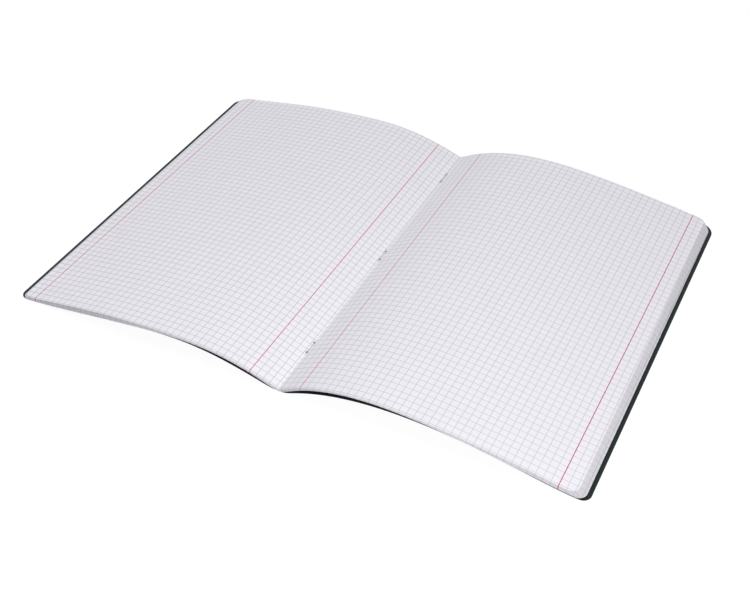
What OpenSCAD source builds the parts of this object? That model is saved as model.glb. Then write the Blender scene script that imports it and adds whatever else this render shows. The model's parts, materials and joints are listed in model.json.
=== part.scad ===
// Squared-paper exercise notebook, lying open at its middle spread
// Frame in millimetres: X runs across the two pages, Y along the fold, Z up.
// The origin is the middle of the spine's underside, on the table.

/* [Notebook] */
// Height of the trimmed notebook, along the fold
page_h = 297; // [180:1:420]
// Width of one cover leaf, from the fold along the card
page_w = 211.5; // [140:0.5:297]
// Radius of the four rounded outer corners
corner_r = 6; // [1:0.5:12]

/* [Cover card] */
// Thickness of the cover card
card_t = 0.4; // [0.25:0.05:0.8]
// Width of the flat spine strip between the two cover creases
spine_w = 6; // [4:0.5:10]
// Running gap at each crease, where a cover leaf turns
crease_gap = 0.06; // [0.04:0.01:0.2]

/* [Arch of the left half] */
// Lean of the left cover leaf at its crease, in degrees
left_lean_deg = 19.7; // [10:0.1:30]
// Distance over which the left leaf turns over to its fall
left_reach = 68; // [45:0.5:90]
// How suddenly the left leaf turns over
left_power = 1.75; // [1:0.05:2.5]
// Depth of the hollow between the left cover and the pages
left_hollow = 1.5; // [0:0.1:4]

/* [Arch of the right half] */
// Lean of the right cover leaf at its crease, in degrees
right_lean_deg = 20.4; // [10:0.1:30]
// Distance over which the right leaf turns over to its fall
right_reach = 79; // [45:0.5:90]
// How suddenly the right leaf turns over
right_power = 2.1; // [1:0.05:2.5]
// Depth of the hollow between the right cover and the pages
right_hollow = 3.4; // [0:0.1:4]

/* [Pages] */
// Thickness of one half of the pages where its sheets lie tight on each other
half_t = 1.55; // [1:0.05:5]
// Thickness of the pages at the fold, where the staples press them
fold_t = 1.7; // [1:0.1:3]
// Extra thickness beside the fold, where the sheets stand off each other
gutter_swell = 1.9; // [0:0.1:2.5]
// Thickness of the left half in its outer part, where the sheets lie loose
left_loose_t = 3.1; // [1:0.1:6]
// Distance from the fold over which the left half's sheets come loose
left_loose_reach = 125; // [60:1:180]
// Thickness of the left half at its fore edge
left_edge_t = 1.8; // [1:0.1:5]
// Thickness of the right half in its outer part, where the sheets lie loose
right_loose_t = 3.3; // [1:0.1:6]
// Distance from the fold over which the right half's sheets come loose
right_loose_reach = 140; // [60:1:180]
// Thickness of the right half at its fore edge
right_edge_t = 3.2; // [1:0.1:5]
// How far the right half's fore edge stands off its cover
right_edge_lift = 0.6; // [0:0.1:2]
// How far the lowest leaf stops short of the cover's edge
outer_leaf_back = 2.4; // [1:0.1:4]
// How far the top left leaf stops short of the cover's edge
left_leaf_back = 5; // [2:0.1:10]
// How far the top right leaf stops short of the cover's edge
right_leaf_back = 7.6; // [2:0.1:10]
// How far the pages stand out past the cover at the near end of the fold
pages_shift = 0.7; // [0:0.1:2]
// Clearance between the pages and the cover leaves that turn under them
page_clear = 0.15; // [0.1:0.01:0.4]

/* [Staples] */
// Number of staples along the fold
staple_count = 3; // [2:1:4]
// Distance from the pages' near end to the nearest staple's middle
near_margin = 43.5; // [15:0.5:60]
// Distance from the pages' far end to the farthest staple's middle
far_margin = 33.5; // [15:0.5:60]
// Distance between a staple's two legs
staple_w = 10.5; // [8:0.5:14]
// Diameter of the staple wire
wire_d = 0.5; // [0.4:0.05:0.7]
// Inner radius of the staple's bends
bend_r = 0.35; // [0.3:0.05:0.6]
// Length of each clinched tip, lying along the fold
tip_l = 4; // [2:0.1:4.5]
// Clearance between the wire and the paper and card around it
stitch_clear = 0.03; // [0.02:0.01:0.1]

/* [Hidden] */

paper_colour = [0.93, 0.93, 0.95];
card_colour = [0.12, 0.22, 0.2];
wire_colour = [0.72, 0.73, 0.75];

spine_half = spine_w / 2;
path_steps = 140;
station_count = 44;
// Stations crowd towards the fold, where the sheets bend most
station_crowding = 1.3;
corner_turns = 8;
swell_reach = 12;
pinch_reach = 2;
hollow_reach = 29;
hollow_power = 1.4;
loose_power = 5;
// The fore edge's own thickness and lift fade in with this power of the distance
edge_power = 12;
// A leaf of card lies down on the table only close to its fore edge
landing_power = 32;
// No leaf of card falls more steeply than this
steepest_fall_deg = -60;
// Half the stretch over which a slope is measured
slope_step = 1;

// Places of the values in a half's list
LEAN = 0;
REACH = 1;
POWER = 2;
HOLLOW = 3;
LOOSE_T = 4;
LOOSE_REACH = 5;
EDGE_T = 6;
EDGE_LIFT = 7;
LEAF_BACK = 8;
left_half = [left_lean_deg, left_reach, left_power, left_hollow, left_loose_t, left_loose_reach,
             left_edge_t, 0, left_leaf_back];
right_half = [right_lean_deg, right_reach, right_power, right_hollow, right_loose_t, right_loose_reach,
              right_edge_t, right_edge_lift, right_leaf_back];

// Lean of a cover leaf at a distance from the fold: flat as far as its crease, then turning over
// from its first lean to its fall, and flat again where it lies down at its fore edge
function lean(half, fall, d) =
    d <= spine_half ? 0
    : (fall + (half[LEAN] - fall) * exp(-pow((d - spine_half) / half[REACH], half[POWER])))
      * (1 - pow(d / page_w, landing_power));

// Underside of a leaf of card as [distance, x, z], summed in short straight steps
function card_path(half, fall) =
    let (step = page_w / path_steps)
    [for (i = 0, x = 0, z = 0;
          i <= path_steps;
          x = x + step * cos(lean(half, fall, (i + 0.5) * step)),
          z = z + step * sin(lean(half, fall, (i + 0.5) * step)),
          i = i + 1)
        [i * step, x, z]];

// Fall angle that brings the leaf's fore edge down to the table, by halving
function landing_fall(half, low = steepest_fall_deg, high = 0, tries = 24) =
    let (middle = (low + high) / 2)
    tries == 0 ? middle
    : card_path(half, middle)[path_steps][2] > 0 ? landing_fall(half, low, middle, tries - 1)
    : landing_fall(half, middle, high, tries - 1);

// A half's worked-out form: its sizes, fall, and tables of x and z against distance
function formed(half) =
    let (fall = landing_fall(half), path = card_path(half, fall))
    [half, fall, [for (p = path) [p[0], p[1]]], [for (p = path) [p[0], p[2]]]];

left_form = formed(left_half);
right_form = formed(right_half);

function card_x(form, d) = lookup(d, form[2]);
function card_z(form, d) = lookup(d, form[3]);
function card_lean(form, d) = lean(form[0], form[1], d);

// Lens-shaped hollow between the card and the pages, deepest at hollow_reach
function hollow(form, d) =
    let (q = d / hollow_reach)
    form[0][HOLLOW] * pow(q * exp(1 - q), hollow_power);

// The pages rest on the spine strip and clear the leaves that turn under them
function clearance(d) = page_clear * min(1, max(0, 2 * d / spine_half - 1));

// How much of the fore edge's own form there is at a distance from the fold
function edge_share(d) = pow(d / page_w, edge_power);

function under_z(form, d) =
    card_z(form, d) + (card_t + clearance(d)) / cos(card_lean(form, d)) + hollow(form, d)
    + form[0][EDGE_LIFT] * edge_share(d);

function under_slope(form, d) =
    let (low = max(0, d - slope_step), high = min(page_w, d + slope_step))
    (under_z(form, high) - under_z(form, low)) / (card_x(form, high) - card_x(form, low));

// Thickness across the sheets: pinched at the fold and swollen beside it, then tight, then loose,
// and with its own value at the fore edge
function thickness(form, d) =
    half_t
    + gutter_swell * exp(-d / swell_reach)
    - (half_t + gutter_swell - fold_t) * exp(-d / pinch_reach)
    + (form[0][LOOSE_T] - half_t) * (1 - exp(-pow(d / form[0][LOOSE_REACH], loose_power)))
    + (form[0][EDGE_T] - form[0][LOOSE_T]) * edge_share(d);

function top_z(form, d) =
    under_z(form, d) + thickness(form, d) * sqrt(1 + pow(under_slope(form, d), 2));

// Distances from the fold at which a leaf of a given length is drawn, then round its corner
function stations(length) = concat(
    [for (i = [0:station_count]) (length - corner_r) * pow(i / station_count, station_crowding)],
    [for (i = [1:corner_turns]) length - corner_r + corner_r * sin(90 * i / corner_turns)]
);

// Half the leaf's height at each of those stations
function half_heights() = concat(
    [for (i = [0:station_count]) page_h / 2],
    [for (i = [1:corner_turns]) page_h / 2 - corner_r + corner_r * cos(90 * i / corner_turns)]
);

// One half of the pages as [top x, top z, under x, under z, half height], from the fold outwards
function block_sections(form, side) =
    let (top = stations(page_w - form[0][LEAF_BACK]),
         under = stations(page_w - outer_leaf_back),
         half_height = half_heights())
    [for (i = [0:len(top) - 1])
        [side * card_x(form, top[i]), top_z(form, top[i]),
         side * card_x(form, under[i]), under_z(form, under[i]),
         half_height[i]]];

function backwards(list) = [for (i = [len(list) - 1:-1:1]) list[i]];

sections = concat(backwards(block_sections(left_form, -1)), block_sections(right_form, 1));

fold_z = card_t + fold_t;
crown_z = wire_d / 2 + stitch_clear;
// Slope of the gutter's walls at the fold, which the clinched tips lie in
gutter_slope = (half_t + gutter_swell - fold_t) / pinch_reach;
tip_z = fold_z + wire_d / 2 * sqrt(1 + gutter_slope * gutter_slope) + stitch_clear;
turn_r = bend_r + wire_d / 2;
staple_pitch = (page_h - near_margin - far_margin) / (staple_count - 1);

module along_fold(length) {
    rotate([90, 0, 0])
        linear_extrude(length, center = true)
            children();
}

module at_staples() {
    for (i = [0:staple_count - 1])
        translate([0, near_margin - page_h / 2 - pages_shift + i * staple_pitch, 0])
            children();
}

// Straight wire along Y from one place to another
module wire_along(d, from, to, z) {
    translate([0, from, z])
        rotate([-90, 0, 0])
            cylinder(d = d, h = to - from, $fn = 24);
}

// Quarter bend in the YZ plane, its outer side to the far end and down
module wire_bend(d) {
    rotate([0, 90, 0])
        rotate_extrude(angle = 90, $fn = 48)
            translate([turn_r, 0])
                circle(d = d, $fn = 24);
}

// One leg with its two bends, from the crown up to its clinched tip
module wire_leg(d) {
    translate([0, staple_w / 2 - turn_r, crown_z + turn_r])
        wire_bend(d);
    translate([0, staple_w / 2, crown_z + turn_r])
        cylinder(d = d, h = tip_z - crown_z - 2 * turn_r, $fn = 24);
    translate([0, staple_w / 2 - turn_r, tip_z - turn_r])
        mirror([0, 0, 1])
            wire_bend(d);
    wire_along(d, staple_w / 2 - turn_r - tip_l, staple_w / 2 - turn_r, tip_z);
}

module staple(d = wire_d) {
    wire_along(d, turn_r - staple_w / 2, staple_w / 2 - turn_r, crown_z);
    wire_leg(d);
    mirror([0, 1, 0])
        wire_leg(d);
}

// The card that the crown presses up into the pages, round the wire
module crown_ridge(clear) {
    along_fold(staple_w + wire_d + 2 * (card_t + clear))
        intersection() {
            translate([0, crown_z])
                circle(r = wire_d / 2 + card_t + clear, $fn = 48);
            translate([-wire_d - card_t, 0])
                square([2 * (wire_d + card_t), crown_z + wire_d + card_t]);
        }
}

// Open channel that the crown lies in, flush with the spine's outside
module crown_channel() {
    along_fold(staple_w + wire_d + 2 * stitch_clear)
        translate([-wire_d / 2 - stitch_clear, -card_t])
            square([wire_d + 2 * stitch_clear, card_t + crown_z]);
}

// Profile of a leaf of card between two distances, upright where it meets the spine
function leaf_profile(form, from, to) =
    let (ds = [for (i = [0:station_count]) from + (to - from) * pow(i / station_count, station_crowding)],
         lower = [for (d = ds) [card_x(form, d), card_z(form, d)]],
         upper = [for (d = ds)
            [card_x(form, d) - card_t * sin(card_lean(form, d)),
             card_z(form, d) + card_t * cos(card_lean(form, d))]],
         inner = [card_x(form, from), card_z(form, from) + card_t / cos(card_lean(form, from))])
    concat(lower, [for (i = [station_count:-1:1]) upper[i]], [inner]);

// Plan of a cover leaf with its two outer corners rounded
module leaf_plan(reach) {
    translate([0, -page_h / 2])
        square([reach - corner_r, page_h]);
    translate([0, corner_r - page_h / 2])
        square([reach, page_h - 2 * corner_r]);
    for (side = [-1, 1])
        translate([reach - corner_r, side * (page_h / 2 - corner_r)])
            circle(r = corner_r, $fn = 64);
}

module cover_leaf(form) {
    intersection() {
        along_fold(page_h)
            polygon(leaf_profile(form, spine_half + crease_gap / 2, page_w));
        translate([0, 0, -page_w])
            linear_extrude(2 * page_w)
                leaf_plan(card_x(form, page_w));
    }
}

// All the sheets, gathered at the fold: one loft from the top leaf to the lowest one
module page_stack() {
    last = len(sections) - 1;
    points = [for (s = sections)
        each [[s[2], -s[4], s[3]], [s[0], -s[4], s[1]], [s[0], s[4], s[1]], [s[2], s[4], s[3]]]];
    walls = [for (i = [0:last - 1], k = [0:3])
        let (next = (k + 1) % 4)
        [4 * i + k, 4 * i + next, 4 * i + 4 + next, 4 * i + 4 + k]];
    ends = [[3, 2, 1, 0], [4 * last, 4 * last + 1, 4 * last + 2, 4 * last + 3]];
    polyhedron(points = points, faces = concat(walls, ends));
}

module page_block() {
    color(paper_colour)
        difference() {
            translate([0, -pages_shift, 0])
                page_stack();
            at_staples() {
                crown_ridge(stitch_clear);
                staple(wire_d + 2 * stitch_clear);
            }
        }
}

module cover_spine() {
    color(card_colour)
        difference() {
            union() {
                along_fold(page_h)
                    translate([crease_gap / 2 - spine_half, 0])
                        square([spine_w - crease_gap, card_t]);
                at_staples()
                    crown_ridge(0);
            }
            at_staples() {
                crown_channel();
                staple(wire_d + 2 * stitch_clear);
            }
        }
}

module front_cover() {
    color(card_colour)
        mirror([1, 0, 0])
            cover_leaf(left_form);
}

module back_cover() {
    color(card_colour)
        cover_leaf(right_form);
}

module staples() {
    color(wire_colour)
        at_staples()
            staple();
}

page_block();
cover_spine();
front_cover();
back_cover();
staples();
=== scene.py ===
# %% [markdown]
# # A notebook of squared paper, lying open
#
# The object is a school exercise book: twenty-four sheets of squared paper and a sheet of dark
# green card, folded together and held by three wire staples. It lies open at its middle spread, so
# each half arches up from the fold and comes down to the table at its fore edge. The packed model
# already holds every piece at its real size. This lesson loads it as a fixed frame and works out
# finer surfaces in the same places: every sheet by itself, the print that runs over it, the card
# of the cover and the steel of the staples. Sizes are written in millimetres, and the factor MM
# turns them into Blender's metres.

# %% Load the packed notebook
import json
import math
from dataclasses import dataclass

import bpy
import numpy as np
from mathutils import Matrix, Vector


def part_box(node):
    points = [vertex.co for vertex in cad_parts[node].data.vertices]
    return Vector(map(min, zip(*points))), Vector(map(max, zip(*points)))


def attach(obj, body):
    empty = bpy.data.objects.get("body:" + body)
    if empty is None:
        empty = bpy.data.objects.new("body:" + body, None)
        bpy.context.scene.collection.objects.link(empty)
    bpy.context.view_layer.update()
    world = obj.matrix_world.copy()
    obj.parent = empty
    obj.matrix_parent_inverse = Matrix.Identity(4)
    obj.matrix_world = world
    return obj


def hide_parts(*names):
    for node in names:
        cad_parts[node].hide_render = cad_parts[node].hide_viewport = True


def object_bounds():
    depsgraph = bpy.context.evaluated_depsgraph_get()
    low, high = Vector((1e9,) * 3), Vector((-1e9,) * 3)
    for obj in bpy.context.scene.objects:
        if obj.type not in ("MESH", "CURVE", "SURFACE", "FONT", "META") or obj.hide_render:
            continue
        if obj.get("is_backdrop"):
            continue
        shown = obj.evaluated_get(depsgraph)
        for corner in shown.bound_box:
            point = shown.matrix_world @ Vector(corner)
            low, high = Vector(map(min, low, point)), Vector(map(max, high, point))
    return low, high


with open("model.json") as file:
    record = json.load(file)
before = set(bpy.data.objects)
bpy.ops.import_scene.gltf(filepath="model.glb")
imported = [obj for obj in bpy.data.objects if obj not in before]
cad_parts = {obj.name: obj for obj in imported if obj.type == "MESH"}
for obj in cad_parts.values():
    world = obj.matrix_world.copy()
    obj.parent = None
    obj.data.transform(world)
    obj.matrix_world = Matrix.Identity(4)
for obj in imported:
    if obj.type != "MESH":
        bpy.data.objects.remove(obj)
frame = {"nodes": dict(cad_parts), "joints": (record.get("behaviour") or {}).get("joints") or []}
cad_low, cad_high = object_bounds()
MM = 0.001
print("packed notebook in mm:", [round((high - low) / MM, 2) for low, high in zip(cad_low, cad_high)])

# %% [markdown]
# ## What the frame gives
#
# A model that repeats the packed one should take from it whatever it can measure. The height of
# the pages is the length of a cover leaf along the fold, and the creases of the cover are where
# the joints turn, one on each side of the spine. The width of a leaf can't be read from a box,
# because the leaves are arched, so it is named here as it measures along the arch.

# %% Measure the packed notebook
leaf_low, leaf_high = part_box("front_cover")
PAGE_HEIGHT = (leaf_high.y - leaf_low.y) / MM
SPINE_HALF = max(joint["pos_m"][0] for joint in frame["joints"]) / MM
PAGE_WIDTH = 211.5
print("page height", round(PAGE_HEIGHT, 2), "and creases at", round(SPINE_HALF, 2), "mm from the fold")

# %% [markdown]
# ## Two halves that differ
#
# The two sides of an open book never lie quite alike. Here the right half arches higher and its
# far corner is worn rounder, while the sheets of the left half spread more. The left half could
# be made first and mirrored, but then both would be the same. So one class names the sizes that
# differ, and the same functions work on either half.


# %% Name what differs
@dataclass
class Half:
    """Sizes of one half, in millimetres, and its lean in degrees. Distances are from the fold."""

    side: int  # -1 on the left of the fold, 1 on the right
    rise: float  # lean of the card as it leaves the crease
    reach: float  # how far past the crease it turns over
    power: float  # how suddenly it does
    hollow: float  # depth of the hollow between card and pages
    hollow_end: float  # distance at which the hollow closes
    loose: float  # thickness of the pages where the sheets lie loose
    loose_reach: float  # distance at which they have come loose
    edge: float  # thickness of the pages at the fore edge
    edge_lift: float  # how far they stand off the card there
    top_leaf_back: float  # how far the top leaf ends short of the card
    far_corner: float  # radius to which the card is worn at its far corner


left = Half(
    side=-1, rise=16.8, reach=72.5, power=2.5, hollow=3.4, hollow_end=72.0,
    loose=4.7, loose_reach=115.0, edge=2.0, edge_lift=0.0, top_leaf_back=5.0, far_corner=8.0,
)
right = Half(
    side=1, rise=27.5, reach=93.5, power=1.1, hollow=3.6, hollow_end=97.0,
    loose=3.5, loose_reach=155.0, edge=3.0, edge_lift=0.9, top_leaf_back=7.6, far_corner=12.0,
)
print("the card leaves its creases at", left.rise, "and", right.rise, "degrees")

# %% [markdown]
# ## The line of the card
#
# Seen from the end of the fold, a leaf of the cover is one smooth line. It could be drawn as a
# Bezier curve by eye, but a line that is bent like a springy card is better worked out from its
# lean: the card leaves the crease at its steepest, turns over and falls to the table at a steady
# slope. Adding up short steps along that lean gives the line, and the slope of the fall is the
# one that brings the fore edge down to the table, found by halving an interval.

# %% Bend the card
STEPS = 840
CREASE_REACH = 2.5
LANDING_POWER = 12
STEEPEST_FALL = -60.0
HALVINGS = 30


def card_line(half, fall):
    """Points of the card's underside: distance along it, X and Z. The lean is level up to the
    crease, then goes from the rise to the fall along exp(-(way past the crease / reach) ^ power).
    It sets in softly at the crease, as 1 - exp(-way / crease reach), and dies away where the card
    lies down at its fore edge, as 1 - (distance / width) ^ landing power. Its steps are added up."""
    step = PAGE_WIDTH / STEPS
    middles = (np.arange(STEPS) + 0.5) * step
    past_crease = np.clip(middles - SPINE_HALF, 0, None)
    turned = fall + (half.rise - fall) * np.exp(-((past_crease / half.reach) ** half.power))
    turned *= 1 - np.exp(-past_crease / CREASE_REACH)
    turned *= 1 - (middles / PAGE_WIDTH) ** LANDING_POWER
    lean = np.radians(np.where(middles <= SPINE_HALF, 0, turned))
    x = np.concatenate([[0], np.cumsum(np.cos(lean) * step)])
    z = np.concatenate([[0], np.cumsum(np.sin(lean) * step)])
    return np.arange(STEPS + 1) * step, x, z


def bend(half):
    """Finds the fall by halving, and keeps the card's line and its lean on the half."""
    steep, shallow = STEEPEST_FALL, 0.0
    for _ in range(HALVINGS):
        middle = (steep + shallow) / 2
        if card_line(half, middle)[2][-1] > 0:
            shallow = middle
        else:
            steep = middle
    half.distance, half.x, half.z = card_line(half, steep)
    half.lean = np.arctan2(np.gradient(half.z, half.distance), np.gradient(half.x, half.distance))
    print("half", half.side, "falls at", round(steep, 2), "degrees and reaches x", round(half.x[-1], 2))


bend(left)
bend(right)

# %% [markdown]
# ## The pages on the card
#
# The pages don't lie tight on the card everywhere. Beside the spine they spring up and leave a
# hollow, which closes further out, and on the right the fore edge stands a little off the card. A
# Shrinkwrap modifier would press them flat against it, so their underside is worked out instead,
# as the card's upper face plus a gap that has a formula of its own.

# %% Find the underside of the pages
CARD_THICK = 0.4
PAGE_CLEAR = 0.15
HOLLOW_RISE = 14.0
HOLLOW_END_POWER = 3
LIFT_REACH = 168.0
LIFT_POWER = 14


def rest_pages(half):
    """Underside of the pages: the card's upper face, a clearance that sets in between half-way to
    the crease and the crease, the hollow, which is its depth times 1 - exp(-distance / rise) times
    exp(-(distance / end) ^ power), and the lift times 1 - exp(-(distance / reach) ^ power)."""
    gap = half.hollow * (1 - np.exp(-half.distance / HOLLOW_RISE))
    gap *= np.exp(-((half.distance / half.hollow_end) ** HOLLOW_END_POWER))
    gap += half.edge_lift * (1 - np.exp(-((half.distance / LIFT_REACH) ** LIFT_POWER)))
    print("half", half.side, "stands off its card by up to", round(gap.max(), 2), "mm")
    clear = PAGE_CLEAR * np.clip(2 * half.distance / SPINE_HALF - 1, 0, 1)
    half.under = half.z + (CARD_THICK + clear) / np.cos(half.lean) + gap
    half.stretch = np.sqrt(1 + np.gradient(half.under, half.x) ** 2)


rest_pages(left)
rest_pages(right)

# %% [markdown]
# ## Shells in numpy
#
# Paper and card are thin plates with an upper face, a lower face and a cut edge all round. A
# plane with a Solidify modifier would do for one sheet. A nest of sheets needs more care, as
# each has its own thickness from place to place, so here both faces are worked out as grids and
# joined by four walls into closed shells. The same helper makes the sheets and the cover.

# %% Build closed shells
FACE_SLOT = 0
EDGE_SLOT = 1
SHARP_ANGLE = math.radians(35)


def surface(x, y, z):
    """Grid of points from a whole grid of Y, and X and Z that don't change along the fold."""
    wide_x, wide_z = (np.broadcast_to(line[..., None], y.shape) for line in (x, z))
    return np.stack([wide_x, y, wide_z], axis=-1)


def wall_faces(low, top):
    """Quads between two rims that run the same way, turned to face the right hand of that way."""
    return np.stack([low[:, :-1], low[:, 1:], top[:, 1:], top[:, :-1]], axis=-1).reshape(-1, 4)


def shells(name, lower, upper, print_across, print_shift):
    """Closed shells from two grids of points [shell, across, along, xyz] in millimetres. A point's
    number counts shells, then faces, then the grid. The UV map holds the way across the sheet and
    Y, in metres, the latter with each shell's own shift of the print."""
    count, across, along = upper.shape[:3]
    points = np.stack([lower, upper], axis=1)
    number = np.arange(count * 2 * across * along).reshape(count, 2, across, along)
    low, top = number[:, 0], number[:, 1]
    upper_faces = np.stack([top[:, :-1, :-1], top[:, 1:, :-1], top[:, 1:, 1:], top[:, :-1, 1:]], axis=-1)
    lower_faces = np.stack([low[:, :-1, :-1], low[:, :-1, 1:], low[:, 1:, 1:], low[:, 1:, :-1]], axis=-1)
    walls = [
        wall_faces(low[:, :, 0], top[:, :, 0]),
        wall_faces(low[:, ::-1, -1], top[:, ::-1, -1]),
        wall_faces(low[:, 0, ::-1], top[:, 0, ::-1]),
        wall_faces(low[:, -1, :], top[:, -1, :]),
    ]
    flat = np.concatenate([upper_faces.reshape(-1, 4), lower_faces.reshape(-1, 4)])
    faces = np.concatenate([flat] + walls)
    mesh = bpy.data.meshes.new(name)
    mesh.from_pydata((points.reshape(-1, 3) * MM).tolist(), [], faces.tolist())
    slots = np.where(np.arange(len(faces)) < len(flat), FACE_SLOT, EDGE_SLOT)
    mesh.polygons.foreach_set("material_index", slots.astype(np.int32))
    mesh.polygons.foreach_set("use_smooth", np.ones(len(faces), bool))
    mesh.set_sharp_from_angle(angle=SHARP_ANGLE)
    u = np.broadcast_to(np.stack([print_across, print_across], axis=1)[..., None], number.shape)
    v = points[..., 1] + print_shift[:, None, None, None]
    uv = np.stack([u, v], axis=-1).reshape(-1, 2) * MM
    layer = mesh.uv_layers.new(name="sheet")
    layer.data.foreach_set("uv", uv[faces.ravel()].astype(np.float32).ravel())
    mesh.validate()
    piece = bpy.data.objects.new(name, mesh)
    bpy.context.scene.collection.objects.link(piece)
    print(name, "has", count, "shells and", 2 * len(faces), "triangles")
    return piece


print("edges sharper than", round(math.degrees(SHARP_ANGLE)), "degrees stay crisp")

# %% [markdown]
# ## The outline of a leaf
#
# A leaf is half a sheet, from the fold to its fore edge. At the outer corners every leaf is cut to
# an arc, so the ends of the grid's last columns draw in along a quarter circle. The near ends of
# the whole book were cut a third of a degree out of square, and the far corners are worn rounder
# the lower the leaf lies. A Boolean could cut all that from a rectangle, but it would leave long
# thin faces at the corners, where a grid that follows the arc stays even.

# %% Outline a leaf
CORNER_RADIUS = 6.0
CORNER_STEPS = 8
CROWDING = 1.3
NEAR_CUT = math.tan(math.radians(0.35))


def stations(lengths, count):
    """Distances from the fold: share ^ crowding of the way to the corner, so that they crowd
    towards the fold, and then the sine steps of the corner's arc."""
    straight = (lengths[:, None] - CORNER_RADIUS) * np.linspace(0, 1, count + 1) ** CROWDING
    turn = np.radians(90) * np.arange(1, CORNER_STEPS + 1) / CORNER_STEPS
    arc = lengths[:, None] - CORNER_RADIUS + CORNER_RADIUS * np.sin(turn)
    return np.concatenate([straight, arc], axis=1)


def half_height(distance, radius):
    """Half the leaf's height at its stations: all of it, then less as the corner's arc asks, which
    is radius - sqrt(radius ^ 2 - way past the arc's start ^ 2)."""
    past_start = np.clip(distance - (distance[:, -1:] - radius), 0, radius)
    return PAGE_HEIGHT / 2 - radius + np.sqrt(radius**2 - past_start**2)


def along_at(x, distance, rows, shift, far_corners):
    """Y of grid points, in even rows from the near end to the far one. The near end is cut a little
    out of square, so points shift by their share of it and their way across."""
    far_share = np.linspace(0, 1, rows)
    near_end = -half_height(distance, CORNER_RADIUS) - NEAR_CUT * x
    far_end = half_height(distance, far_corners[:, None])
    return near_end[..., None] * (1 - far_share) + far_end[..., None] * far_share + shift[:, None, None]


print("the near ends run off by", round(NEAR_CUT * PAGE_WIDTH, 2), "mm over the width of a leaf")

# %% [markdown]
# ## How thick the pages are
#
# The pages are pinched where the staples hold them, swell just beside the fold, lie tight for a
# stretch and come loose further out, up to a fore edge with a thickness of its own. A lattice
# could swell a block of pages too, but a sum of simple terms can be read and mended. All leaves
# follow the same law: a share of the way up through the pages, from 0 at the lowest face to 1 at
# the top, gives the height at each distance from the fold.

# %% Fill the halves with pages
TIGHT_THICK = 1.5
FOLD_THICK = 1.7
SWELL = 1.6
SWELL_REACH = 16.0
PINCH_REACH = 2.5
LOOSE_POWER = 5
EDGE_POWER = 8


def pages_thickness(half, distance):
    """Thickness of the pages: the tight value, plus a swelling and less a pinch that both die away
    as exp(-distance / reach), plus the loosening times 1 - exp(-(distance / reach) ^ power), and
    bent to the edge's own value by (distance / width) ^ power."""
    return (
        TIGHT_THICK
        + SWELL * np.exp(-distance / SWELL_REACH)
        - (TIGHT_THICK + SWELL - FOLD_THICK) * np.exp(-distance / PINCH_REACH)
        + (half.loose - TIGHT_THICK) * (1 - np.exp(-((distance / half.loose_reach) ** LOOSE_POWER)))
        + (half.edge - half.loose) * (distance / PAGE_WIDTH) ** EDGE_POWER
    )


def height_at(half, distance, share):
    """Height at a share of the pages: their underside, plus the share times their thickness, which
    stands square to the slope and so is stretched where it is measured upright."""
    under = np.interp(distance, half.distance, half.under)
    stretch = np.interp(distance, half.distance, half.stretch)
    return under + share * pages_thickness(half, distance) * stretch


for half in (left, right):
    highest = height_at(half, half.distance, 1.0).max()
    print("half", half.side, "rises to", round(highest, 2), "mm, packed box", round(cad_high.z / MM, 2))

# %% [markdown]
# ## No two sheets alike
#
# In a real stack no two sheets lie quite alike. Near the fold the staples press them together
# evenly. Towards the fore edge the gaps between them differ, and each sheet is trimmed and
# printed a little off its neighbours. Moving each sheet by hand would be endless, so random
# shares spread the gaps, and small random shifts move each sheet's ends and its print. The seed
# makes every run draw the same. The top sheet keeps its place, because it carries the spread
# that is looked at.

# %% Draw what differs from sheet to sheet
SHEETS = 24
SEED = 24
PAGES_ALONG = -0.7
LOOSENESS_SPREAD = 0.45
TRIM_SPREAD = 0.1
PRINT_SPREAD_ACROSS = 0.2
PRINT_SPREAD_ALONG = 1.0

dice = np.random.default_rng(SEED)
looseness = dice.lognormal(0.0, LOOSENESS_SPREAD, (2, SHEETS))
edge_shares = np.cumsum(looseness, axis=1) / looseness.sum(axis=1, keepdims=True)
fold_shares = np.arange(1, SHEETS + 1) / SHEETS
trim_shift = PAGES_ALONG + dice.uniform(-TRIM_SPREAD, TRIM_SPREAD, SHEETS)
shift_across = dice.uniform(-PRINT_SPREAD_ACROSS, PRINT_SPREAD_ACROSS, SHEETS)
shift_along = dice.uniform(-PRINT_SPREAD_ALONG, PRINT_SPREAD_ALONG, SHEETS)
trim_shift[-1] = PAGES_ALONG
shift_across[-1] = 0
shift_along[-1] = 0
widest, narrowest = looseness.max(axis=1), looseness.min(axis=1)
print("widest gap at each fore edge, in narrowest ones:", np.round(widest / narrowest, 1))

# %% [markdown]
# ## From leaves to sheets
#
# A sheet runs from its left fore edge down into the fold and up again to its right one, so its
# left leaf is turned round and joined to its right leaf at the fold. An Array modifier would
# stack copies of one sheet, all alike. Here each sheet is its own shell with its own gaps, and
# because a shell is never thicker than its share, no two sheets cut through each other. The
# middle sheet carries the open spread and gets a finer grid than the ones below it.

# %% Make the sheets
PAPER_THICK = 0.062
TIGHT = 0.95
LOOSENING_POWER = 3
LOWEST_LEAF_BACK = 2.4
MIDDLE_GRID = (120, 61)
STACK_GRID = (44, 13)


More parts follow.
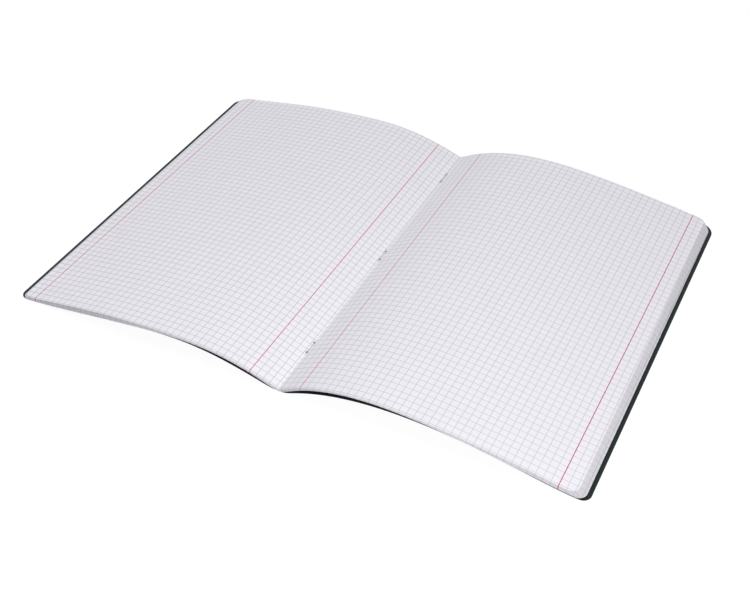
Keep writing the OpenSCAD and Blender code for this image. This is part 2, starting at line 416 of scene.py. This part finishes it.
def leaf_grid(half, which, count, rows):
    """Lower and upper grids of the leaves that which picks, from the fold outwards, and the way
    along each of them from the fold. From the fold to the fore edge a leaf's share goes from the
    even one to its own loose one by (distance / width) ^ loosening power."""
    share = fold_shares[which]
    back = LOWEST_LEAF_BACK + (half.top_leaf_back - LOWEST_LEAF_BACK) * share
    distance = stations(PAGE_WIDTH - back, count)
    loosened = (distance / PAGE_WIDTH) ** LOOSENING_POWER
    loose = edge_shares[(half.side + 1) // 2]
    below = np.concatenate([[0], loose[:-1]])
    high = share[:, None] * (1 - loosened) + loose[which][:, None] * loosened
    low = (share - 1 / SHEETS)[:, None] * (1 - loosened) + below[which][:, None] * loosened
    room = (high - low) * pages_thickness(half, distance)
    thick = np.minimum(PAPER_THICK, TIGHT * room)
    low = high - thick / pages_thickness(half, distance)
    x = half.side * np.interp(distance, half.distance, half.x)
    upper_z = height_at(half, distance, high)
    steps = np.hypot(np.diff(x), np.diff(upper_z))
    way = np.concatenate([np.zeros((len(distance), 1)), np.cumsum(steps, axis=1)], axis=1)
    far_corners = half.far_corner + (CORNER_RADIUS - half.far_corner) * share
    y = along_at(x, distance, rows, trim_shift[which], far_corners)
    lower = surface(x, y, height_at(half, distance, low))
    upper = surface(x, y, upper_z)
    return lower, upper, half.side * way + shift_across[which][:, None]


def sheets(name, which, count, rows):
    """Whole sheets: the left leaves turned round so that they run to the right, then the right."""
    joined = []
    left_parts = leaf_grid(left, which, count, rows)
    right_parts = leaf_grid(right, which, count, rows)
    for left_part, right_part in zip(left_parts, right_parts):
        joined.append(np.concatenate([left_part[:, :0:-1], right_part], axis=1))
    return shells(name, *joined, shift_along[which])


middle_sheet = sheets("middle_sheet", np.array([SHEETS - 1]), *MIDDLE_GRID)
sheet_stack = sheets("sheet_stack", np.arange(SHEETS - 1), *STACK_GRID)

# %% [markdown]
# ## The cover
#
# The cover is a single sheet of card with a crease on each side of the spine. Each leaf of it
# turns by itself, so each is its own shell that follows the card's line, thickened square to it,
# with rounded corners like the pages, worn rounder at the far end. The flat strip of the spine is
# right as it was packed, with the channels that the staples lie in, and stays.

# %% Make the cover's leaves
CREASE_GAP = 0.06
CARD_STATIONS = 110
CARD_ROWS = 33


def cover_leaf(name, half):
    """A leaf of the card: the lower face on the card's line, the upper one a thickness away along
    the normal, and upright at the crease where it meets the spine strip."""
    crease = SPINE_HALF + CREASE_GAP / 2
    distance = crease + stations(np.array([PAGE_WIDTH - crease]), CARD_STATIONS)
    x = np.interp(distance, half.distance, half.x)
    z = np.interp(distance, half.distance, half.z)
    lean = np.interp(distance, half.distance, half.lean)
    upper_x = x - CARD_THICK * np.sin(lean)
    upper_z = z + CARD_THICK * np.cos(lean)
    upper_x[:, 0] = x[:, 0]
    upper_z[:, 0] = z[:, 0] + CARD_THICK / np.cos(lean[:, 0])
    y = along_at(half.side * x, distance, CARD_ROWS, np.zeros(1), np.array([half.far_corner]))
    lower = surface(half.side * x, y, z)
    upper = surface(half.side * upper_x, y, upper_z)
    way = half.side * distance
    if half.side < 0:
        lower, upper, way = lower[:, ::-1], upper[:, ::-1], way[:, ::-1]
    return shells(name, lower, upper, way, np.zeros(1))


front_card = cover_leaf("front_cover_card", left)
back_card = cover_leaf("back_cover_card", right)

# %% [markdown]
# ## Shader maths as Python
#
# A printed pattern is arithmetic on the sheet's own coordinates. Wiring each Math node by hand
# hides that arithmetic, so a small class wraps a socket and lets plus, minus and times add the
# nodes.


# %% Wrap a socket
class Field:
    """A value that varies over a surface: a shader socket that Python arithmetic works on."""

    def __init__(self, nodes, socket):
        self.nodes = nodes
        self.socket = socket

    def maths(self, operation, *values):
        """A Math node of this operation on the field and the values after it."""
        inputs = dict(enumerate((self, *values)))
        return self.nodes.node("ShaderNodeMath", {"operation": operation}, inputs)

    def __add__(self, other):
        return self.maths("ADD", other)

    def __sub__(self, other):
        return self.maths("SUBTRACT", other)

    def __rsub__(self, other):
        return self * -1 + other

    def __mul__(self, other):
        return self.maths("MULTIPLY", other)

    __radd__ = __add__
    __rmul__ = __mul__

    def size(self):
        return self.maths("ABSOLUTE")

    def lower(self, other):
        return self.maths("MINIMUM", other)

    def upper(self, other):
        return self.maths("MAXIMUM", other)

    def off_nearest(self, pitch):
        """How far the value is from the nearest whole multiple of the pitch."""
        return self.maths("PINGPONG", pitch / 2)

    def band(self, width, soft):
        """1 where the value is under half the width, 0 past it, with a soft rim between."""
        inputs = {"Value": self, "From Min": (width - soft) / 2, "From Max": (width + soft) / 2,
                  "To Min": 1.0, "To Max": 0.0}
        return self.nodes.node("ShaderNodeMapRange", {"interpolation_type": "SMOOTHSTEP"}, inputs)


print("a field knows:", [name for name in vars(Field) if not name.startswith("__")])

# %% [markdown]
# ## One method for every node
#
# Materials and the world are node trees alike. Adding nodes in the Shader Editor is a good way to
# try things out, but a script stays short with one method that adds any node from its type, its
# settings and what feeds its sockets. A finish is a material with its Principled shader. What is
# the same all over a surface is set on that shader, and only what varies is linked to it.


# %% Add nodes and make finishes
class Nodes:
    """The node tree of a material or of the world."""

    def __init__(self, owner):
        owner.use_nodes = True
        self.tree = owner.node_tree

    def node(self, kind, settings=None, inputs=None, output=0):
        """Adds a node and gives one of its outputs. Its settings are set first, and then its inputs
        by name or number."""
        made = self.tree.nodes.new(kind)
        for key, value in (settings or {}).items():
            setattr(made, key, value)
        for key, value in (inputs or {}).items():
            self.feed(made.inputs[key], value)
        return Field(self, made.outputs[output])

    def feed(self, socket, value):
        """Links a field to a socket, or sets the socket's own value."""
        if isinstance(value, Field):
            self.tree.links.new(value.socket, socket)
        else:
            socket.default_value = value


class Finish(Nodes):
    """A material, its Principled shader and the values that stay the same on it."""

    def __init__(self, name, **constants):
        self.material = bpy.data.materials.new(name)
        super().__init__(self.material)
        self.shader = self.tree.nodes["Principled BSDF"]
        for socket, value in constants.items():
            self.shader.inputs[socket.replace("_", " ")].default_value = value

    def place(self):
        return self.node("ShaderNodeTexCoord", output="Object")

    def part(self, vector, axis):
        """One of a vector's three parts, by the number of its axis."""
        return self.node("ShaderNodeSeparateXYZ", None, {"Vector": vector}, axis)

    def noise(self, size, detail=2.0):
        """Soft random values from 0 to 1, with lumps of the given size in metres."""
        inputs = {"Vector": self.place(), "Scale": 1 / size, "Detail": detail}
        return self.node("ShaderNodeTexNoise", {"noise_dimensions": "3D"}, inputs)

    def wander(self, size, least, most):
        """Soft random values from the least to the most: least + noise * (most - least)."""
        return self.noise(size) * (most - least) + least

    def mix(self, factor, first, second):
        """A colour between two, by the factor. A colour mix has them at sockets 0, 6 and 7."""
        inputs = {0: factor, 6: first, 7: second}
        return self.node("ShaderNodeMix", {"data_type": "RGBA"}, inputs, 2)

    def colour(self, value):
        self.feed(self.shader.inputs["Base Color"], value)

    def roughness(self, value):
        self.feed(self.shader.inputs["Roughness"], value)

    def bump(self, height, depth, strength):
        inputs = {"Height": height, "Distance": depth, "Strength": strength}
        self.feed(self.shader.inputs["Normal"], self.node("ShaderNodeBump", None, inputs))


print("a finish knows:", [name for name in vars(Finish) if not name.startswith("__")])

# %% [markdown]
# ## Colours as a screen shows them
#
# A colour that is read off a screen is bent by the screen's curve, while shaders work in linear
# light. Blender's colour picker hides the difference. A script has to undo the curve itself.


# %% Turn screen colours into light
def shade(red, green, blue):
    """A colour as it looks on a screen, 0 to 255, in the linear light that shaders use. The screen's
    curve is undone by value / 12.92 in the darkest part and ((value + 0.055) / 1.055) ^ 2.4 above."""
    screen = np.array([red, green, blue]) / 255
    linear = np.where(screen <= 0.04045, screen / 12.92, ((screen + 0.055) / 1.055) ** 2.4)
    return (*linear.tolist(), 1.0)


def grey(light):
    """A grey of this much linear light."""
    return (light, light, light, 1.0)


print("a screen grey of 128 is", round(shade(128, 128, 128)[0], 3), "in linear light")

# %% [markdown]
# ## The print
#
# Every page is ruled in grey squares of 5 mm right across the sheet, and a red margin line stands
# 20 mm from the fold and 195 mm from it on each page. An image texture would do it, but lines
# are simple enough to compute: the distance to the nearest multiple of 5 mm, cut off at half the
# line's width. The UV map of a sheet holds the way across it from the fold, so the print bends
# with the paper. The print sits 1.2 mm to the left of the fold, as presses are never quite true,
# and the grey ink gets a little thinner to the right and towards the near end.

# %% Rule the squares and margins
SQUARE = 5 * MM
LINE_WIDTH = 0.4 * MM
LINE_SOFT = 0.15 * MM
INNER_RED_WIDTH = 0.49 * MM
OUTER_RED_WIDTH = 0.56 * MM
INNER_MARGIN = 20 * MM
OUTER_MARGIN = 195 * MM
PRINT_ACROSS = -1.2 * MM
PRINT_ALONG = 1.85 * MM
PRINT_SKEW = 0.0053
GREY_INK = shade(168, 168, 177)
RED_INK = shade(183, 46, 100)
INK_MIDDLE = 0.83
INK_PER_METRE_ACROSS = -0.7
INK_PER_METRE_ALONG = 0.3
INK_WEAR = (0.9 * MM, 0.8, 1.1)


def ruling(finish, trimmed):
    """Masks of the grey squares and of the red margins over the sheet's own coordinates. On a
    trimmed edge only the lines that run off it count, so the mask looks which way it faces."""
    where = finish.node("ShaderNodeUVMap", {"uv_map": "sheet"})
    sheet_x = finish.part(where, 0) - PRINT_ACROSS
    sheet_y = finish.part(where, 1) - PRINT_ALONG
    across = sheet_x - sheet_y * PRINT_SKEW
    along = sheet_y + sheet_x * PRINT_SKEW
    ink = across * INK_PER_METRE_ACROSS + along * INK_PER_METRE_ALONG + INK_MIDDLE
    from_fold = across.size()
    to_inner, to_outer = (from_fold - INNER_MARGIN).size(), (from_fold - OUTER_MARGIN).size()
    to_line, to_row = across.off_nearest(SQUARE), along.off_nearest(SQUARE)
    if trimmed:
        at_ends = finish.part(finish.node("ShaderNodeTexCoord", output="Normal"), 1).size().maths("ROUND")
        to_line, to_inner, to_outer = (way + (1 - at_ends) for way in (to_line, to_inner, to_outer))
        to_row = to_row + at_ends
    squares = to_line.lower(to_row).band(LINE_WIDTH, LINE_SOFT) * ink * finish.wander(*INK_WEAR)
    margins = to_inner.band(INNER_RED_WIDTH, LINE_SOFT).upper(to_outer.band(OUTER_RED_WIDTH, LINE_SOFT))
    return squares, margins


def printed(finish, ground, ink_share, trimmed):
    """The ground colour with the squares and then the margins printed over it."""
    squares, margins = ruling(finish, trimmed)
    ruled = finish.mix(squares * ink_share, ground, GREY_INK)
    return finish.mix(margins * ink_share, ruled, RED_INK)


print("squares to a page:", round(PAGE_WIDTH * MM / SQUARE), "by", round(PAGE_HEIGHT * MM / SQUARE))

# %% [markdown]
# ## The holes of the staples
#
# Each leg of a staple comes up through a small hole in the fold, which is dark with shade, as is
# the dent round it. Cutting so small a hole through every sheet would take more faces than it
# shows, so a soft spot of painted shade round each leg stands for the hole and its shade. The
# spots have to lie where the packed staples are, so their places are worked out from the staples' box.

# %% Find the legs of the staples
STAPLES = 3
STAPLE_WIDTH = 10.5 * MM
WIRE_THICK = 0.5 * MM
HOLE_WIDTH = 1.9 * MM
HOLE_SOFT = 1.1 * MM
# Painted shade: the dark colour of the spots round the staple legs.
HOLE_PAINTED_SHADE = shade(128, 127, 136)

first_end, last_end = (end.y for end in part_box("staples"))
FIRST_STAPLE = first_end + (STAPLE_WIDTH + WIRE_THICK) / 2
LAST_STAPLE = last_end - (STAPLE_WIDTH + WIRE_THICK) / 2
STAPLE_PITCH = (LAST_STAPLE - FIRST_STAPLE) / (STAPLES - 1)


def holes(finish):
    """Mask of the spots of painted shade round the legs: how far a point is from the nearest leg,
    seen from above, which is sqrt(x ^ 2 + way along the fold ^ 2). A leg is half a staple's width from
    its middle."""
    x, y = (finish.part(finish.place(), axis) for axis in (0, 1))
    along = ((y - FIRST_STAPLE).off_nearest(STAPLE_PITCH) - STAPLE_WIDTH / 2).size()
    return (x * x + along * along).maths("SQRT").band(HOLE_WIDTH, HOLE_SOFT)


print("staples are", round(STAPLE_PITCH / MM, 2), "mm apart")

# %% [markdown]
# ## The paper
#
# Writing paper is matt, with faint clouds in its white and a fine tooth that catches side light.
# One flat white would look like plastic, so two close shades wander into each other, and a fine
# bump stands for the tooth. The lower sheets show only as narrow steps at the edges, where the
# photograph has them greyer than the spread, so their paper is painted a shade greyer: painted
# shade for the shadow that falls between the sheets.

# %% Finish the paper
PAPER = shade(233, 231, 237)
PAPER_SHADED = shade(229, 227, 234)
# Painted shade: the lower sheets' paper is painted greyer for the shadow between the sheets.
LOWER_PAPER_PAINTED_SHADE = shade(218, 216, 221)
LOWER_PAPER_PAINTED_SHADE_DEEP = shade(212, 210, 215)
PAPER_GLOSS = 0.25
PAPER_CLOUDS = (14 * MM, 3.0)
PAPER_ROUGHNESS = (2 * MM, 0.72, 0.84)
PAPER_TOOTH = (0.35 * MM, 4.0)
TOOTH_DEPTH = 0.012 * MM
TOOTH_STRENGTH = 0.5
PAGE_INK = 1.0


def paper_finish(name, light, deep):
    """Matt paper between two shades, printed, with painted shade round the holes of the staples and a
    fine tooth.
    """
    paper = Finish(name, Specular_IOR_Level=PAPER_GLOSS)
    ruled = printed(paper, paper.mix(paper.noise(*PAPER_CLOUDS), light, deep), PAGE_INK, trimmed=False)
    # The spots round the staple legs are painted shade, mixed over the printed paper.
    paper.colour(paper.mix(holes(paper), ruled, HOLE_PAINTED_SHADE))
    paper.roughness(paper.wander(*PAPER_ROUGHNESS))
    paper.bump(paper.noise(*PAPER_TOOTH), TOOTH_DEPTH, TOOTH_STRENGTH)
    print(name, "in linear light:", [round(value, 3) for value in light[:3]])
    return paper


paper = paper_finish("squared_paper", PAPER, PAPER_SHADED)
lower_paper_painted_shade = paper_finish("lower_squared_paper_painted_shade", LOWER_PAPER_PAINTED_SHADE, LOWER_PAPER_PAINTED_SHADE_DEEP)

# %% [markdown]
# ## The cut edges
#
# Where the sheets were trimmed, the ends of the fibres show, and a stack of edges is painted greyer
# than a page: partly for the fibres, partly as painted shade in the gaps between the sheets. The
# printed lines run off the edge of every sheet, so they show there as small ticks.

# %% Colour the cut edges
# Painted greyer than a page, for the fibre ends and as painted shade in the gaps between the sheets.
EDGE_PAPER_WITH_SHADE = shade(213, 211, 218)
EDGE_PAPER_DEEP_WITH_SHADE = shade(196, 193, 204)
EDGE_ROUGHNESS = 0.9
EDGE_GLOSS = 0.15
EDGE_INK = 0.6
FIBRES = (0.25 * MM, 3.0)
FIBRE_DEPTH = 0.02 * MM
FIBRE_STRENGTH = 0.6

edge = Finish("cut_paper_edge", Roughness=EDGE_ROUGHNESS, Specular_IOR_Level=EDGE_GLOSS)
fibres = edge.noise(*FIBRES)
edge_fibres_and_shade = edge.mix(fibres, EDGE_PAPER_WITH_SHADE, EDGE_PAPER_DEEP_WITH_SHADE)
edge.colour(printed(edge, edge_fibres_and_shade, EDGE_INK, trimmed=True))
edge.bump(fibres, FIBRE_DEPTH, FIBRE_STRENGTH)
print("the cut edge has", len(edge.tree.nodes), "nodes")

# %% [markdown]
# ## The cover's card
#
# The card is dark green on both faces. Flat dark paint would look like plastic, so the colour
# wanders a little between two shades and a fine grain roughens it. The cut edge shows the core of
# the card, finer in its grain, and is painted darker still: painted shade, as the edge faces away
# from the light.

# %% Colour the card
CARD = shade(23, 34, 35)
CARD_DEEP = shade(16, 25, 26)
# Painted shade: the cut edge is painted darker, as it faces away from the light.
CARD_CORE_WITH_SHADE = shade(8, 11, 12)
CARD_GLOSS = 0.18
CARD_CLOUDS = (9 * MM, 4.0)
CARD_ROUGHNESS = (3 * MM, 0.42, 0.62)
CARD_GRAIN = 0.5 * MM
CORE_GRAIN = 0.15 * MM
GRAIN_DETAIL = 3.0
GRAIN_DEPTH = 0.03 * MM
GRAIN_STRENGTH = 0.6


def card_finish(name, light, deep, grain):
    """Card with clouds of a deeper shade, and a grain of the given size pressed into it."""
    card = Finish(name, Specular_IOR_Level=CARD_GLOSS)
    card.colour(card.mix(card.noise(*CARD_CLOUDS), light, deep))
    card.roughness(card.wander(*CARD_ROUGHNESS))
    card.bump(card.noise(grain, GRAIN_DETAIL), GRAIN_DEPTH, GRAIN_STRENGTH)
    print(name, "has a grain of", round(grain / MM, 2), "mm")
    return card


card = card_finish("green_card", CARD, CARD_DEEP, CARD_GRAIN)
card_edge = card_finish("cut_card_edge", CARD_CORE_WITH_SHADE, CARD_DEEP, CORE_GRAIN)

# %% [markdown]
# ## The staples
#
# Staple wire is drawn steel with a thin bright coat. The marks of the drawing are too fine to see
# on so thin a wire, so its tint and its gloss only wander a little. Where a leg comes up through
# its hole, the same spots that paint shade on the paper paint its top darker: a painted reflection
# of the dark hole.

# %% Colour the wire
WIRE_BRIGHT = shade(205, 206, 209)
WIRE_DULL = shade(176, 178, 183)
TINT_SIZE = 0.8 * MM
WIRE_ROUGHNESS = (0.3 * MM, 0.22, 0.42)
WIRE_TOP_FROM = 1.2 * MM

wire = Finish("staple_steel", Metallic=1.0)
wire_tint = wire.mix(wire.noise(TINT_SIZE), WIRE_BRIGHT, WIRE_DULL)
# Painted reflection: the wire's top is painted dark inside the spots of painted shade round its holes.
hole_reflection = holes(wire) * wire.part(wire.place(), 2).maths("GREATER_THAN", WIRE_TOP_FROM)
wire.colour(wire.mix(hole_reflection, wire_tint, HOLE_PAINTED_SHADE))
wire.roughness(wire.wander(*WIRE_ROUGHNESS))
print("the wire darkens in its holes above", round(WIRE_TOP_FROM / MM, 2), "mm")

# %% [markdown]
# ## Who moves with what
#
# The sheets and the staples stay with the spine, and each leaf of the cover turns on its crease.
# Each new piece rides on the body of the packed piece that it stands for. The spine strip and the
# staples keep their packed shapes and only get a finish.

# %% Dress the pieces
for piece, body, node, slot, finishes in (
    (middle_sheet, "pages", "page_block", "paper", (paper, edge)),
    (sheet_stack, "pages", "page_block", "paper", (lower_paper_painted_shade, edge)),
    (front_card, "front_cover", "front_cover", "cover_card", (card, card_edge)),
    (back_card, "back_cover", "back_cover", "cover_card", (card, card_edge)),
):
    for finish in finishes:
        piece.data.materials.append(finish.material)
    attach(piece, body)
    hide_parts(node)

for node, finish in (("cover_spine", card), ("staples", wire)):
    for material_slot in frame["nodes"][node].material_slots:
        material_slot.material = finish.material

# %% [markdown]
# ## The table
#
# The photograph has a plain white ground. More light would bleach the pages, so the ground is
# white only for rays from the camera: part glow, part pale surface that still takes a soft
# shadow. For all other rays it is a plain light grey table, which gives the notebook a little
# light from below. Seen from underneath it is clear, so that the cover can be looked at there.

# %% Lay the table
TABLE_DROP = 0.05
TABLE_HALF = 3000.0
TABLE_GREY = grey(0.8)
PALE = grey(0.12)
GLOW = 0.92

table_mesh = bpy.data.meshes.new("table")
corners = [(x * TABLE_HALF * MM, y * TABLE_HALF * MM, -TABLE_DROP * MM)
           for x, y in ((-1, -1), (1, -1), (1, 1), (-1, 1))]
table_mesh.from_pydata(corners, [], [(0, 1, 2, 3)])
table = bpy.data.objects.new("table", table_mesh)
bpy.context.scene.collection.objects.link(table)
table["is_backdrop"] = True

white = Finish("white_ground")
white.tree.nodes.remove(white.shader)
to_camera = white.node("ShaderNodeLightPath", output="Is Camera Ray")
from_below = white.node("ShaderNodeNewGeometry", output="Backfacing")
dull = white.node("ShaderNodeBsdfDiffuse", None, {"Color": TABLE_GREY})
pale = white.node("ShaderNodeBsdfDiffuse", None, {"Color": PALE})
glow = white.node("ShaderNodeEmission", None, {"Strength": GLOW})
seen = white.node("ShaderNodeAddShader", None, {0: pale, 1: glow})
above = white.node("ShaderNodeMixShader", None, {0: to_camera, 1: dull, 2: seen})
clear = white.node("ShaderNodeBsdfTransparent")
ground = white.node("ShaderNodeMixShader", None, {0: from_below, 1: above, 2: clear})
white.feed(white.tree.nodes["Material Output"].inputs["Surface"], ground)
table_mesh.materials.append(white.material)
print("table is", 2 * TABLE_HALF, "mm square")

# %% [markdown]
# ## The lamps
#
# A single sun lamp would draw hard shadows in the gutter, so four large soft lamps light the
# pages. The strongest one stands to the right and in front, which is why the slope on the left of
# the fold is the brightest. One hangs above, a broad one at the back keeps the far pages from
# going grey, and a weak one at the left lights the gutter's right wall.

# %% Light the notebook
LAMPS = (
    ("front_lamp", (600, -1000, 600), 700, 13.4),
    ("top_lamp", (0, 0, 1500), 1000, 6.4),
    ("back_lamp", (-900, 300, 1300), 1200, 7.0),
    ("left_lamp", (-1000, 500, 500), 700, 0.7),
)

for name, place, width, power in LAMPS:
    lamp = bpy.data.lights.new(name, "AREA")
    lamp.shape = "SQUARE"
    lamp.size = width * MM
    lamp.energy = power
    stand = bpy.data.objects.new(name, lamp)
    stand.location = [value * MM for value in place]
    stand.rotation_euler = (-stand.location).to_track_quat("-Z", "Y").to_euler()
    bpy.context.scene.collection.objects.link(stand)
print("lamps:", [lamp[0] for lamp in LAMPS])

# %% [markdown]
# ## The sky
#
# The world adds a weak even light. For the camera and in reflections it is plain white, so that
# the ground runs on without an edge and the wire mirrors a white room.

# %% Fill the sky
SKY = 0.2
WHITE = grey(1.0)

world = bpy.data.worlds.new("studio")
bpy.context.scene.world = world
sky = Nodes(world)
backdrop = sky.tree.nodes["Background"]
sky.feed(backdrop.inputs["Color"], WHITE)
sky.feed(backdrop.inputs["Strength"], SKY)
bright = sky.node("ShaderNodeBackground", None, {"Color": WHITE})
camera_ray = sky.node("ShaderNodeLightPath", output="Is Camera Ray")
gloss_ray = sky.node("ShaderNodeLightPath", output="Is Glossy Ray")
choices = {0: camera_ray.upper(gloss_ray), 1: Field(sky, backdrop.outputs[0]), 2: bright}
sky.feed(sky.tree.nodes["World Output"].inputs["Surface"], sky.node("ShaderNodeMixShader", None, choices))
print("the sky lights with a strength of", SKY)

# %% [markdown]
# ## The camera
#
# The photograph was taken from the front and the right, looking down at about forty degrees. Its
# lens and place were found by fitting a pinhole camera to the corners of the pages and to the
# printed squares. Three directions turn the camera: what it looks along, its right and its up.

# %% Place the camera
IMAGE_WIDTH = 750
FOCAL_PIXELS = 1199.2
SENSOR_WIDTH = 36.0
CAMERA_PLACE = (295.8, -613.7, 542.0)
LOOK = np.array([-0.33470, 0.68468, -0.64745])
TO_RIGHT = np.array([0.89771, 0.44058, 0.00185])

look = LOOK / np.linalg.norm(LOOK)
to_right = TO_RIGHT - look * (TO_RIGHT @ look)
to_right /= np.linalg.norm(to_right)
up = np.cross(to_right, look)
camera_data = bpy.data.cameras.new("camera")
camera_data.sensor_width = SENSOR_WIDTH
camera_data.lens = FOCAL_PIXELS / IMAGE_WIDTH * SENSOR_WIDTH
camera = bpy.data.objects.new("camera", camera_data)
turn = Matrix(np.stack([to_right, up, -look], axis=1).tolist()).to_4x4()
camera.matrix_world = Matrix.Translation([value * MM for value in CAMERA_PLACE]) @ turn
bpy.context.scene.collection.objects.link(camera)
bpy.context.scene.camera = camera
bpy.context.scene.view_settings.view_transform = "Standard"
print("lens", round(camera_data.lens, 2), "mm")

# The growth of the new box over the packed one is printed, corner by corner.

# %% Compare the sizes and finish
new_low, new_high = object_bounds()
corner_pairs = zip((*new_low, *new_high), (*cad_low, *cad_high))
print("box grew by mm:", [round((new - old) / MM, 3) for new, old in corner_pairs])
